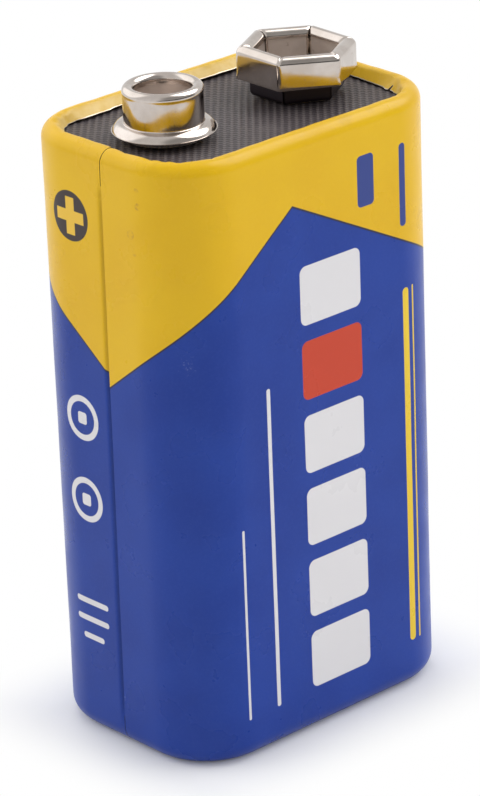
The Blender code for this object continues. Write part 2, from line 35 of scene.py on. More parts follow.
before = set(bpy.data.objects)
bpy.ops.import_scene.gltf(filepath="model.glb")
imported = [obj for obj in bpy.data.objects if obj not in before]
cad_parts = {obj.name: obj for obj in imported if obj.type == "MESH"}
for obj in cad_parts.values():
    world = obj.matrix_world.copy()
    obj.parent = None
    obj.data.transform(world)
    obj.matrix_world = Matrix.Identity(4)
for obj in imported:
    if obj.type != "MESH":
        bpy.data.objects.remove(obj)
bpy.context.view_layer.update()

# The body, as in the part
WIDTH = 25.9 * MM
DEPTH = 17.5 * MM
CORNER = 5.2 * MM
RIM_HEIGHT = 45.5 * MM
SHEET = 0.25 * MM
FLAT_X = WIDTH / 2 - CORNER
FLAT_Y = DEPTH / 2 - CORNER
CORNER_ARC = math.pi / 2 * CORNER
GIRTH = 4 * (FLAT_X + FLAT_Y + CORNER_ARC)

# The jacket's seam and folds
TOP_FOLD = 1.0 * MM
LIP_FOLD = 0.42 * MM
BOTTOM_FOLD = 1.4 * MM
BOTTOM_LAND = 1.2 * MM
LAP_LOW = 2.2 * MM
LAP_HIGH = 43.0 * MM
LAP_WIDTH = 2.6 * MM
SEAM_START = -11.22 * MM
SEAM_LINE = 0.06 * MM
SEAM_LEAN = 0.42 / 44
SEAM_MIDDLE = 23 * MM
JOGGLE_LENGTH = 0.42 * MM
JOGGLE_DEPTH = 0.3 * MM
NOTCH_RISE = 0.3 * MM
WALL_WAVE = 0.03 * MM
CREST_WAVE = 0.05 * MM
PUCKER_INSET = 0.18 * MM
PUCKER_DROP = 0.26 * MM

# Wrap coordinates of the top lip's notches, in millimetres
NOTCHES = [-9.3, -1.3, 16.9, 21.7, 31.6, 37.9]

# Wrap coordinate, lean in degrees and height of the end of the top lip, lengths in millimetres
LIP_SHAPE = [
    (-11, 24, 44.72),
    (0, 22, 44.7),
    (15, 22, 44.7),
    (20, 26, 44.72),
    (22, 50, 44.7),
    (24, 44, 44.72),
    (27, 36, 44.76),
    (31, 34, 44.78),
    (38, 30, 44.8),
    (40, 50, 44.86),
    (44, 46, 44.84),
    (51.6, 44, 44.84),
    (51.9, 49, 44.82),
    (54.9, 48, 44.8),
    (56, 26, 44.75),
    (66, 24, 44.72),
]

# The print, in millimetres on the wrap
PRINT_MIRROR = 28.05
ZIGZAG_PEAK = (5.06, 40.55)
ZIGZAG_RISE = 0.775
ZIGZAG_REAR_RISE_LOSS = 0.03
ZIGZAG_FALL = -0.512
GAUGE_COLUMN = 8.45
GAUGE_LOW = 5.7
GAUGE_PITCH = 5.6
GAUGE_HALF = (2.9, 2.2)
GAUGE_CORNER = 0.55
MARK_COLUMN = 63.5
MARK_HEIGHTS = (24.8, 18.5)
PLUS_PLACE = (63.4, 39.95)
MINUS_PLACE = (24.4, 39.95)
SIGN_RADIUS = 1.85
SIGN_LONG = (1.38, 0.43)
SIGN_TALL = (0.43, 1.38)
SIGN_CORNER = 0.04

# Contacts
BOARD_TOP = 44.6 * MM
BOARD_LOW = 43.4 * MM
BOARD_INSET = 0.7 * MM
STUD_PLACE = Vector((-6.35 * MM, 0.0, 0.0))
SOCKET_PLACE = Vector((6.35 * MM, 0.0, 0.0))
HOLE_RADIUS = 1.1 * MM
STUD_WELL = 2.38 * MM
SOCKET_WELL = 2.81 * MM
WELL_ROUNDNESS = 0.91
SKIRT_REACH = 3.3 * MM
SOCKET_TILT = math.radians(1.5)
TILT_WAY = Vector((0.744, -0.668, 0.0))

# Embossing of the black board
RIB_AZIMUTH = math.radians(46.8)
RIB_PITCH = 0.5 * MM
RIB_DEPTH = 0.05 * MM
CROSS_PITCH = 0.39 * MM

# Sections of the contacts in millimetres: their floor, the stud's bead and neck, the socket's leaf
FLOOR_TOP = 44.95
FLOOR_LOW = 44.7
BEAD_CENTRE = (2.43, 48.07)
BEAD_RADIUS = 0.43
NECK_RADIUS = 2.83
LEAF_WALL = 2.76
LEAF_FOOT = 45.13
LEAF_FOLD = (3.295, 47.965)
LEAF_FOLD_RADIUS = 0.535
LEAF_SKIRT = 3.83
LEAF_SKIRT_LENGTH = 1.865
LEAF_FOOT_OVERLAP = 0.05
LEAF_OPENING = 0.072
LEAF_TONGUE = 1.48
LEAF_EDGE = 0.22
LEAF_EDGE_DEPTH = 0.18
LEAF_EDGE_RADIUS = 0.42

# The photograph's camera: focal length and picture height in pixels, and its axes
FOCAL_PIXELS = 4122.27
PICTURE_HEIGHT = 796
SENSOR_WIDTH = 36.0
CAMERA_PLACE = (-0.183785, -0.203276, 0.137886)
CAMERA_RIGHT = Vector((0.73155, -0.68081, -0.03638))
CAMERA_UP = Vector((0.28805, 0.26027, 0.92157))
CAMERA_LOOK = Vector((0.61795, 0.68465, -0.38651))

# Brightness of the surroundings, for matt surfaces and for what glossy surfaces mirror
MATT_LEVEL = 0.64
MIRRORED_LEVEL = 0.85
OVERHEAD_DIM = 0.05
CAMERA_SIDE_DIM = 0.4
RIGHT_BOX_GAIN = 4.8
LEFT_BOX_GAIN = 0.8
SKYLINE_DIM = 0.85

# The stage: where the lamps point, and the floor's half width, grid lines and level
LAMPS_AIM = Vector((0.0, 0.0, 0.025))
STAGE_HALF = 1.5
STAGE_LINES = 13
STAGE_LEVEL = -0.00001


def srgb(red, green, blue):
    """Linear colour from the 0 to 255 values of a display."""
    linear = []
    for value in (red, green, blue):
        share = value / 255
        linear.append(share / 12.92 if share <= 0.04045 else ((share + 0.055) / 1.055) ** 2.4)
    return (*linear, 1.0)


class Graph:
    """A node tree, and short calls that add nodes to it."""

    def __init__(self, tree):
        self.tree = tree

    def put(self, socket, value):
        """Links a socket, or sets the number or colour on it."""
        if isinstance(value, bpy.types.NodeSocket):
            self.tree.links.new(value, socket)
        else:
            socket.default_value = value

    def math(self, operation, *values):
        """One Math node."""
        node = self.tree.nodes.new("ShaderNodeMath")
        node.operation = operation
        for index, value in enumerate(values):
            self.put(node.inputs[index], value)
        return node.outputs[0]

    def times(self, first, second):
        """The product of two numbers."""
        return self.math("MULTIPLY", first, second)

    def vector(self, operation, *values):
        """One Vector Math node."""
        node = self.tree.nodes.new("ShaderNodeVectorMath")
        node.operation = operation
        for index, value in enumerate(values):
            self.put(node.inputs[index], value)
        number = operation in ("LENGTH", "DISTANCE", "DOT_PRODUCT")
        return node.outputs["Value" if number else "Vector"]

    def split(self, vector):
        """The three parts of a vector."""
        node = self.tree.nodes.new("ShaderNodeSeparateXYZ")
        self.put(node.inputs[0], vector)
        return node.outputs

    def join(self, x, y, z=0.0):
        """A vector from three numbers."""
        node = self.tree.nodes.new("ShaderNodeCombineXYZ")
        for index, value in enumerate((x, y, z)):
            self.put(node.inputs[index], value)
        return node.outputs[0]

    def ease(self, value, low, high, start=0.0, stop=1.0):
        """Goes smoothly from start to stop while a value goes from low to high."""
        node = self.tree.nodes.new("ShaderNodeMapRange")
        node.interpolation_type = "SMOOTHSTEP"
        for index, item in enumerate((value, low, high, start, stop)):
            self.put(node.inputs[index], item)
        return node.outputs[0]

    def mix(self, share, first, second):
        """Mixes two colours."""
        node = self.tree.nodes.new("ShaderNodeMix")
        node.data_type = "RGBA"
        self.put(node.inputs[0], share)
        self.put(node.inputs[6], first)
        self.put(node.inputs[7], second)
        return node.outputs[2]


class Finish(Graph):
    """A material, and short calls for its patterns, masks and shader."""

    def __init__(self, name):
        self.material = bpy.data.materials.new(name)
        self.material.use_nodes = True
        super().__init__(self.material.node_tree)
        self.shader = self.tree.nodes["Principled BSDF"]
        self.place = self.tree.nodes.new("ShaderNodeTexCoord").outputs["Object"]

    def set(self, **values):
        """Sets the shader's own inputs, named with underscores."""
        for name, value in values.items():
            self.put(self.shader.inputs[name.replace("_", " ")], value)

    def noise(self, scale, detail=2.0, stretch=None, roughness=0.5):
        """Noise by place, with features of about a metre divided by the scale."""
        where = self.vector("MULTIPLY", self.place, stretch) if stretch else self.place
        node = self.tree.nodes.new("ShaderNodeTexNoise")
        self.put(node.inputs["Vector"], where)
        node.inputs["Scale"].default_value = scale
        node.inputs["Detail"].default_value = detail
        node.inputs["Roughness"].default_value = roughness
        return node.outputs["Fac"]

    def specks(self, scale, size, rarity):
        """Small round specks in a few of the cells of a grid, as a mask."""
        node = self.tree.nodes.new("ShaderNodeTexVoronoi")
        self.put(node.inputs["Vector"], self.place)
        node.inputs["Scale"].default_value = scale
        chosen = self.math("GREATER_THAN", self.split(node.outputs["Color"])[0], rarity)
        within = self.ease(node.outputs["Distance"], size, size * 0.6)
        return self.times(chosen, within)

    def bump(self, height, distance, strength=1.0, below=None):
        """Bump from a height between 0 and 1, over another bump if given."""
        node = self.tree.nodes.new("ShaderNodeBump")
        self.put(node.inputs["Height"], height)
        node.inputs["Distance"].default_value = distance
        node.inputs["Strength"].default_value = strength
        if below:
            self.put(node.inputs["Normal"], below)
        return node.outputs[0]

    def block(self, point, centre, half, radius=0.3):
        """Mask of a rounded rectangle on the wrap, in millimetres."""
        offset = self.vector("ABSOLUTE", self.vector("SUBTRACT", point, (*centre, 0.0)))
        core = (half[0] - radius, half[1] - radius, 0.0)
        outside = self.vector("MAXIMUM", self.vector("SUBTRACT", offset, core), (0.0, 0.0, 0.0))
        return self.ease(self.vector("LENGTH", outside), radius + 0.03, radius - 0.03)

    def ring(self, point, centre, outer, inner):
        """Mask of a ring or a disc on the wrap, in millimetres."""
        away = self.vector("DISTANCE", point, (*centre, 0.0))
        disc = self.ease(away, outer + 0.03, outer - 0.03)
        if not inner:
            return disc
        return self.times(disc, self.ease(away, inner - 0.03, inner + 0.03))

    def either(self, masks):
        """The union of several masks."""
        union = masks[0]
        for mask in masks[1:]:
            union = self.math("MAXIMUM", union, mask)
        return union


def printed_fields(g, folded, height, behind, grain):
    """Yellow over blue, and the mask of the yellow field."""
    # A zigzag parts the two fields, with a thin dark line of overlapping inks
    steep = g.math("SUBTRACT", ZIGZAG_RISE, g.times(behind, ZIGZAG_REAR_RISE_LOSS))
    from_peak = g.math("SUBTRACT", folded, ZIGZAG_PEAK[0])
    rise = g.times(from_peak, steep)
    fall = g.times(from_peak, ZIGZAG_FALL)
    zigzag = g.math("ADD", g.math("MINIMUM", rise, fall), ZIGZAG_PEAK[1])
    over = g.times(g.math("SUBTRACT", height, zigzag), 0.82)
    yellow_field = g.ease(over, -0.02, 0.03)
    dark_line = g.ease(g.math("ABSOLUTE", over), 0.09, 0.03)

    cloudy = g.ease(g.noise(160.0, 3.0), 0.3, 0.7)
    yellow = g.mix(cloudy, srgb(214, 169, 4), srgb(218, 175, 9))
    yellow = g.mix(g.ease(grain, 0.4, 0.8, 0.0, 0.15), yellow, srgb(225, 184, 24))
    blue = g.mix(cloudy, srgb(9, 49, 137), srgb(17, 56, 146))
    blue = g.mix(g.ease(grain, 0.4, 0.8, 0.0, 0.12), blue, srgb(52, 78, 165))
    colour = g.mix(yellow_field, blue, yellow)
    colour = g.mix(dark_line, colour, srgb(38, 36, 60))
    return colour, yellow_field


def printed_shapes(g, colour, point, mirrored):
    """Plain shapes where a product has words, and the signs of the poles."""
    # A gauge of six blocks on the wide sides, the fifth from below red
    white = srgb(214, 212, 214)
    gauge = []
    for row in range(6):
        centre = (GAUGE_COLUMN, GAUGE_LOW + GAUGE_PITCH * row)
        gauge.append(g.block(mirrored, centre, GAUGE_HALF, GAUGE_CORNER))
    red_block = gauge.pop(4)
    colour = g.mix(g.either(gauge), colour, white)
    colour = g.mix(red_block, colour, srgb(190, 62, 36))

    # White and yellow stripes beside it, and two short blue bars in the yellow field
    stripes = [
        g.block(mirrored, (2.2, 15.6), (0.17, 12.3), 0.16),
        g.block(mirrored, (-0.6, 10.6), (0.1, 7.4), 0.09),
    ]
    colour = g.mix(g.either(stripes), colour, white)
    trim = [
        g.block(mirrored, (15.8, 17.6), (0.3, 13.9), 0.29),
        g.block(mirrored, (16.6, 17.6), (0.08, 13.9), 0.07),
    ]
    colour = g.mix(g.either(trim), colour, srgb(224, 190, 50))
    badges = [
        g.block(mirrored, (15.7, 39.3), (0.3, 3.1), 0.29),
        g.block(mirrored, (12.1, 40.6), (0.8, 1.9), 0.35),
    ]
    colour = g.mix(g.either(badges), colour, srgb(48, 64, 130))

    # Plain white marks low on the side by the stud
    marks = []
    for mark_height in MARK_HEIGHTS:
        marks.append(g.ring(point, (MARK_COLUMN, mark_height), 1.7, 1.25))
        marks.append(g.block(point, (MARK_COLUMN, mark_height), (0.45, 0.45), 0.2))
    for mark_height, half_length in ((10.4, 1.7), (9.0, 1.7), (7.6, 1.1)):
        marks.append(g.block(point, (MARK_COLUMN, mark_height), (half_length, 0.22), 0.2))
    colour = g.mix(g.either(marks), colour, white)

    # Signs of the poles: plus by the stud, minus by the socket
    discs = [g.ring(point, place, SIGN_RADIUS, 0.0) for place in (PLUS_PLACE, MINUS_PLACE)]
    colour = g.mix(g.either(discs), colour, srgb(58, 48, 46))
    signs = [
        g.block(point, PLUS_PLACE, SIGN_LONG, SIGN_CORNER),
        g.block(point, PLUS_PLACE, SIGN_TALL, SIGN_CORNER),
        g.block(point, MINUS_PLACE, SIGN_LONG, SIGN_CORNER),
    ]
    colour = g.mix(g.either(signs), colour, srgb(224, 182, 60))
    return colour


def print_wear_and_lip_highlight(g, colour, point, height, yellow_field):
    """Handling wear over the print with a painted highlight on the rear lip, and the mask of the
    scuffs.
    """
    # Faint scuffs, small knocks by the seam, and a little soil on the crest
    near = g.times(g.vector("DISTANCE", point, (-4.1, 31.2, 0.0)), 0.11)
    scuffs = g.ease(g.math("SUBTRACT", g.noise(3400.0, 5.0, roughness=0.85), near), 0.5, 0.62)
    worn = g.math("MAXIMUM", g.times(scuffs, 0.7), g.specks(620.0, 0.04, 0.975))
    shown = g.math("MULTIPLY_ADD", yellow_field, -0.3, 0.4)
    colour = g.mix(g.times(worn, shown), colour, srgb(165, 175, 205))
    knocks = [
        g.ring(point, (-7.45, 43.4), 0.22, 0.0),
        g.ring(point, (-7.4, 42.3), 0.26, 0.0),
        g.ring(point, (-8.2, 40.1), 0.34, 0.0),
        g.ring(point, (-7.9, 38.8), 0.2, 0.0),
    ]
    knocks = g.times(g.either(knocks), g.ease(g.noise(3000.0, 3.0), 0.38, 0.6))
    colour = g.mix(g.times(knocks, 0.45), colour, srgb(150, 95, 60))
    on_crest = g.ease(height, 44.6, 45.3)
    soil = g.times(on_crest, g.ease(g.noise(420.0, 3.0), 0.56, 0.72))
    colour = g.mix(g.times(soil, 0.15), colour, srgb(150, 105, 30))

    # Painted highlight on the rear lip: its paint is coloured paler in patches
    past_flat = g.vector("SUBTRACT", g.vector("ABSOLUTE", g.place), (FLAT_X, FLAT_Y, 1.0))
    past_flat = g.vector("MAXIMUM", past_flat, (0.0, 0.0, 0.0))
    inset = g.math("SUBTRACT", CORNER, g.vector("LENGTH", past_flat))
    painted_lip_highlight = g.times(g.ease(inset, 0.9 * MM, 1.5 * MM), g.ease(height, 43.5, 44.5))
    painted_lip_highlight = g.times(painted_lip_highlight, g.ease(g.split(g.place)[1], 2 * MM, 7 * MM))
    patchy = g.ease(g.noise(900.0, 3.0), 0.25, 0.7, 0.22, 0.65)
    colour = g.mix(g.times(painted_lip_highlight, patchy), colour, srgb(244, 216, 150))
    specks = g.times(g.specks(260.0, 0.02, 0.985), 0.6)
    colour = g.mix(specks, colour, srgb(70, 60, 50))
    return colour, worn


def printed_paint():
    """Lithographed satin paint: yellow over blue, with plain shapes where a product has words."""
    g = Finish("printed_paint")
    wrap = g.tree.nodes.new("ShaderNodeUVMap")
    wrap.uv_map = "wrap"
    point = g.vector("MULTIPLY", wrap.outputs[0], (100.0, 100.0, 100.0))
    along, height, _ = g.split(point)

    # The print is mirrored about a line on the side by the socket
    from_mirror = g.math("ABSOLUTE", g.math("SUBTRACT", along, PRINT_MIRROR))
    folded = g.math("SUBTRACT", PRINT_MIRROR, from_mirror)
    behind = g.math("GREATER_THAN", along, PRINT_MIRROR)
    mirrored = g.join(folded, height)

    grain = g.noise(5200.0, 1.0)
    colour, yellow_field = printed_fields(g, folded, height, behind, grain)
    colour = printed_shapes(g, colour, point, mirrored)
    colour, worn = print_wear_and_lip_highlight(g, colour, point, height, yellow_field)

    rough = g.ease(g.noise(260.0, 4.0), 0.3, 0.7, 0.26, 0.36)
    rough = g.math("ADD", rough, g.times(worn, 0.2))
    peel = g.bump(g.noise(1500.0, 2.0), 0.004 * MM, 0.6)
    g.set(Base_Color=colour, Roughness=rough, Normal=g.bump(grain, 0.001 * MM, 0.5, peel))
    g.set(Specular_IOR_Level=0.29)
    return g.material


def bare_tin(name, light, dark, roughness):
    """Tinned steel: cut edges, and the sheet's inner side."""
    g = Finish(name)
    patches = g.ease(g.noise(700.0, 4.0), 0.3, 0.7)
    rolled = g.noise(900.0, 3.0, stretch=(1.0, 1.0, 0.05))
    g.set(Base_Color=g.mix(patches, dark, light), Metallic=1.0)
    g.set(Roughness=g.ease(rolled, 0.2, 0.8, roughness - 0.07, roughness + 0.1))
    g.set(Normal=g.bump(rolled, 0.003 * MM, 0.5))
    return g.material


def bright_nickel():
    """Nickel plate with drawing marks, fine scratches and a few stains, with painted light in the
    contacts' wells and painted shade at the socket's foot.
    """
    g = Finish("bright_nickel")
    patches = g.ease(g.noise(600.0, 4.0), 0.35, 0.7)
    colour = g.mix(patches, srgb(192, 182, 174), srgb(206, 197, 190))
    stain = g.ease(g.noise(1150.0, 4.0, roughness=0.7), 0.66, 0.74)
    pits = g.specks(1100.0, 0.12, 0.97)
    colour = g.mix(g.times(stain, 0.55), colour, srgb(150, 128, 105))
    colour = g.mix(g.times(pits, 0.75), colour, srgb(70, 55, 48))
    for centre, radius in (((-7.62, -1.66, 47.9), 0.34), ((-8.2, -2.24, 45.62), 0.36)):
        spot = tuple(value * MM for value in centre)
        near = g.vector("DISTANCE", g.place, spot)
        soft = g.math("ADD", near, g.times(g.noise(2600.0, 2.0), 0.3 * MM))
        mask = g.ease(soft, (radius + 0.05) * MM, (radius - 0.1) * MM)
        colour = g.mix(g.times(mask, 0.8), colour, srgb(84, 62, 52))

    # Duller in the wells inside both contacts, and painted lighter there: the lighter colour is
    # painted light
    x, y, z = g.split(g.place)
    by_socket = g.math("GREATER_THAN", x, 0.0)
    across = g.math("SUBTRACT", g.math("ABSOLUTE", x), STUD_PLACE.length)
    slants = []
    for angle in (0, 60, 120):
        turn = math.radians(angle)
        by_x = g.times(across, math.cos(turn))
        by_y = g.times(y, math.sin(turn))
        slants.append(g.math("ABSOLUTE", g.math("ADD", by_x, by_y)))
    from_axis = g.either(slants)
    reach = g.math("MULTIPLY_ADD", by_socket, SOCKET_WELL - STUD_WELL, STUD_WELL)
    radius = g.times(g.vector("LENGTH", g.join(across, y)), WELL_ROUNDNESS)
    within = g.math("LESS_THAN", g.math("MAXIMUM", from_axis, radius), reach)
    dull = g.times(within, g.ease(z, 48.0 * MM, 47.5 * MM))
    # Painted light: the wells' colour is lightened, less so in the socket's
    light = g.times(dull, g.math("MULTIPLY_ADD", by_socket, -0.45, 0.85))
    colour = g.mix(light, colour, srgb(236, 226, 219))

    # Painted shade at the socket's foot, under its skirt: coloured dark, and duller there
    painted_shade_foot = g.math("LESS_THAN", from_axis, SKIRT_REACH)
    painted_shade_foot = g.times(g.math("SUBTRACT", 1.0, within), painted_shade_foot)
    painted_shade_foot = g.times(painted_shade_foot, by_socket)
    painted_shade_foot = g.times(painted_shade_foot, g.ease(z, 46.7 * MM, 46.2 * MM))
    colour = g.mix(painted_shade_foot, colour, srgb(66, 60, 66))

    rough = g.ease(g.noise(900.0, 3.0), 0.3, 0.75, 0.09, 0.17)
    rough = g.math("MULTIPLY_ADD", g.math("MAXIMUM", dull, painted_shade_foot), 0.42, rough)
    rough = g.math("ADD", rough, g.times(g.math("MAXIMUM", stain, pits), 0.2))
    lines = g.noise(420.0, 3.0, stretch=(1.0, 1.0, 9.0))
    handled = g.bump(g.noise(520.0, 1.0), 0.006 * MM, 0.5)
    g.set(Base_Color=colour, Metallic=1.0, Roughness=rough)
    g.set(Normal=g.bump(lines, 0.0012 * MM, 0.5, handled))
    return g.material


def embossed_black():
    """Black fibre board: crossing ribs, fine fibres, a little dust, and painted light on the rib
    tops.
    """
    g = Finish("embossed_black")
    x, y, _ = g.split(g.place)
    turn = math.cos(RIB_AZIMUTH), math.sin(RIB_AZIMUTH)
    across = g.math("SUBTRACT", g.times(x, turn[1]), g.times(y, turn[0]))
    along = g.math("ADD", g.times(x, turn[0]), g.times(y, turn[1]))
    wobble = g.times(g.noise(700.0, 2.0), 0.06 * MM)
    ribs = g.math("COSINE", g.times(across, math.tau / RIB_PITCH))
    phase = g.times(g.math("ADD", along, wobble), math.tau / CROSS_PITCH)
    cross = g.ease(g.math("COSINE", phase), -0.9, 0.9)
    fibres = g.noise(3800.0, 4.0, roughness=0.65)
    # Painted light and shade: rib tops coloured lighter than the grooves, varied by the fibres
    painted_rib_light = g.times(g.ease(ribs, -0.2, 0.9), g.ease(fibres, 0.3, 0.65, 0.45, 1.0))
    colour = g.mix(painted_rib_light, srgb(60, 54, 56), srgb(88, 81, 81))
    colour = g.mix(g.ease(g.noise(240.0, 3.0), 0.55, 0.75, 0.0, 0.35), colour, srgb(92, 85, 84))
    dust = g.math("MAXIMUM", g.specks(330.0, 0.05, 0.95), g.specks(900.0, 0.07, 0.985))
    colour = g.mix(g.times(dust, 0.8), colour, srgb(190, 180, 170))
    g.set(Base_Color=colour, Roughness=g.ease(fibres, 0.3, 0.7, 0.38, 0.55))
    fine = g.bump(fibres, 0.012 * MM, 0.7)
    g.set(Normal=g.bump(cross, 0.03 * MM, 0.8, fine), Specular_IOR_Level=0.3)
    return g.material


def plain_stock(name, light, dark, roughness, scale, depth, stretch=None, metallic=0.0):
    """Card, film, paper, powder or rolled metal of the pieces inside."""
    g = Finish(name)
    coarse = g.ease(g.noise(scale, 4.0, stretch=stretch), 0.3, 0.7)
    fine = g.noise(scale * 8, 3.0, stretch=stretch)
    colour = g.mix(coarse, dark, light)
    colour = g.mix(g.ease(fine, 0.45, 0.75, 0.0, 0.3), colour, dark)
    g.set(Base_Color=colour, Metallic=metallic)
    g.set(Roughness=g.ease(fine, 0.3, 0.7, roughness - 0.07, roughness + 0.07))
    g.set(Normal=g.bump(fine, depth, 0.6))
    return g.material


def mesh_piece(name, points, faces, materials, kinds=None, wrap=None):
    """Object from arrays of points and faces, shaded smooth up to sharp edges."""
    mesh = bpy.data.meshes.new(name)
    mesh.from_pydata([tuple(point) for point in points], [], [tuple(face) for face in faces])
    for material in materials:
        mesh.materials.append(material)
    if kinds is not None:
        mesh.polygons.foreach_set("material_index", kinds)
    if wrap is not None:
        layer = mesh.uv_layers.new(name="wrap")
        corners = np.zeros(len(mesh.loops), np.int32)
        mesh.loops.foreach_get("vertex_index", corners)
        layer.uv.foreach_set("vector", np.asarray(wrap, np.float32)[corners].ravel())
    mesh.shade_smooth()
    mesh.set_sharp_from_angle(angle=math.radians(40))
    piece = bpy.data.objects.new(name, mesh)
    bpy.context.scene.collection.objects.link(piece)
    return piece


def grid_faces(rows, columns, first=0):
    """Faces of a grid of points that are stored row by row."""
    faces = []
    for row in range(rows - 1):
        for column in range(columns - 1):
            a = first + row * columns + column
            faces.append((a, a + 1, a + columns + 1, a + columns))
    return faces


def thicken(outer, inner, faces):
    """Closed skin from a sheet's two sides: faces, and 0, 1 or 2 for outer, cut edge or inner."""
    count = len(outer)
    used = {}
    for face in faces:
        for a, b in zip(face, face[1:] + face[:1]):
            used[(a, b)] = True
    skin = [tuple(face) for face in faces]
    kinds = [0] * len(faces)
    for a, b in used:
        if (b, a) not in used:
            skin.append((b, a, a + count, b + count))
            kinds.append(1)
    for face in faces:
        skin.append(tuple(index + count for index in reversed(face)))
        kinds.append(2)
    return np.concatenate([outer, inner]), skin, kinds


def ease(share):
    """Goes from 0 to 1 with level ends."""
    share = np.clip(share, 0.0, 1.0)
    return share * share * (3 - 2 * share)


def outline(along, inset):
    """Points of the body's rounded outline at a wrap coordinate and an inset."""
    along = np.mod(along, GIRTH)
    x = np.zeros_like(along)
    y = np.zeros_like(along)
    start = 0.0
    sides = [(1, -1, 2 * FLAT_X), (1, 1, 2 * FLAT_Y), (-1, 1, 2 * FLAT_X), (-1, -1, 2 * FLAT_Y)]
    for index, (sign_x, sign_y, length) in enumerate(sides):
        way = np.array([(1, 0), (0, 1), (-1, 0), (0, -1)][index], float)
        out = np.array([(0, -1), (1, 0), (0, 1), (-1, 0)][index], float)
        centre = np.array([sign_x * FLAT_X, sign_y * FLAT_Y])
        on_flat = (along >= start) & (along < start + length)
        back = (start + length - along)[on_flat]
        reach = (CORNER - inset)[on_flat]
        x[on_flat] = centre[0] - way[0] * back + out[0] * reach
        y[on_flat] = centre[1] - way[1] * back + out[1] * reach
        start += length
        on_arc = (along >= start) & (along < start + CORNER_ARC)
        angle = (along - start)[on_arc] / CORNER + math.atan2(out[1], out[0])
        reach = (CORNER - inset)[on_arc]
        x[on_arc] = centre[0] + np.cos(angle) * reach
        y[on_arc] = centre[1] + np.sin(angle) * reach
        start += CORNER_ARC
    return x, y


def ripple(along, height, seed):
    """Slow uneven waves between 0 and 1, the same at both ends of the wrap."""
    total = 0.0
    for turns, tall, phase in ((3, 31, 0.4), (7, 23, 2.1), (12, 17, 4.4), (19, 9, 1.3)):
        angle = math.tau * (turns * along / GIRTH + height / (tall * MM))
        total = total + np.sin(angle + phase * seed)
    return 0.5 + total / 8


def wrap_columns():
    """Wrap coordinates of the jacket's columns, closer at the notches and by the seam's end."""
    stop = SEAM_START + GIRTH - SEAM_LINE
    columns = list(np.arange(SEAM_START, stop, 0.34 * MM)) + [stop]
    for notch in NOTCHES:
        for step in (-0.16, -0.12, -0.06, 0.0, 0.06, 0.12, 0.16):
            columns.append((notch + step) * MM)
    for back in (0.05, 0.1, 0.16, 0.22, 0.28, 0.34, 0.42, 0.6):
        columns.append(stop - back * MM)
    columns = np.array(sorted(columns))
    keep = np.concatenate([[True], np.diff(columns) > 0.02 * MM])
    keep[-1] = True
    return columns[keep]


def lip_shape(along):
    """The lip's lean and the height of its end, which is higher in the notches."""
    knots = np.array(LIP_SHAPE, float)
    start = -11.3  # just before the seam
    where = np.mod(along / MM - start, GIRTH / MM) + start
    lean = np.radians(np.interp(where, knots[:, 0], knots[:, 1]))
    low = np.interp(where, knots[:, 0], knots[:, 2]) * MM
    height = low + 0.05 * MM * (ripple(along * 5, 0.0, 2.0) - 0.5)
    for notch in NOTCHES:
        away = np.abs(np.mod(along - notch * MM + GIRTH / 2, GIRTH) - GIRTH / 2)
        risen = low + NOTCH_RISE * (1 - ease((away - 0.08 * MM) / (0.08 * MM)))
        height = np.maximum(height, risen)
    return lean, height


def jacket_rows(along):
    """Profile of the jacket in rows: insets, heights and the ways into the sheet."""
    shape = np.ones_like(along)
    rows = []
    for inset in np.linspace(BOTTOM_FOLD + BOTTOM_LAND, BOTTOM_FOLD, 4)[:-1]:
        rows.append((inset * shape, 0 * shape, 0 * shape, shape))
    for angle in np.radians(np.linspace(270, 180, 11)):
        c, s = math.cos(angle), math.sin(angle)
        inset, height = BOTTOM_FOLD * (1 + c), BOTTOM_FOLD * (1 + s)
        rows.append((inset * shape, height * shape, -c * shape, -s * shape))
    wall = [LAP_LOW, *np.linspace(LAP_LOW, LAP_HIGH, 42)[1:-1], LAP_HIGH]
    for height in wall:
        rows.append((0 * shape, height * shape, shape, 0 * shape))
    centre = RIM_HEIGHT - TOP_FOLD
    for angle in np.radians(np.linspace(180, 90, 13)):
        c, s = math.cos(angle), math.sin(angle)
        inset, height = TOP_FOLD * (1 + c), centre + TOP_FOLD * s
        rows.append((inset * shape, height * shape, -c * shape, -s * shape))
    lean, lip_end = lip_shape(along)
    centre = RIM_HEIGHT - LIP_FOLD
    for share in np.linspace(0, 1, 11)[1:]:
        angle = math.pi / 2 - share * (math.pi / 2 - lean)
        inset = TOP_FOLD + LIP_FOLD * np.cos(angle)
        rows.append((inset, centre + LIP_FOLD * np.sin(angle), -np.cos(angle), -np.sin(angle)))
    inset, height = rows[-1][:2]
    drop = height - lip_end
    for share in (0.2, 0.4, 0.6, 0.8, 0.93, 1.0):
        past = share * drop
        rows.append((inset + past * np.tan(lean), height - past, -np.cos(lean), -np.sin(lean)))
    return rows


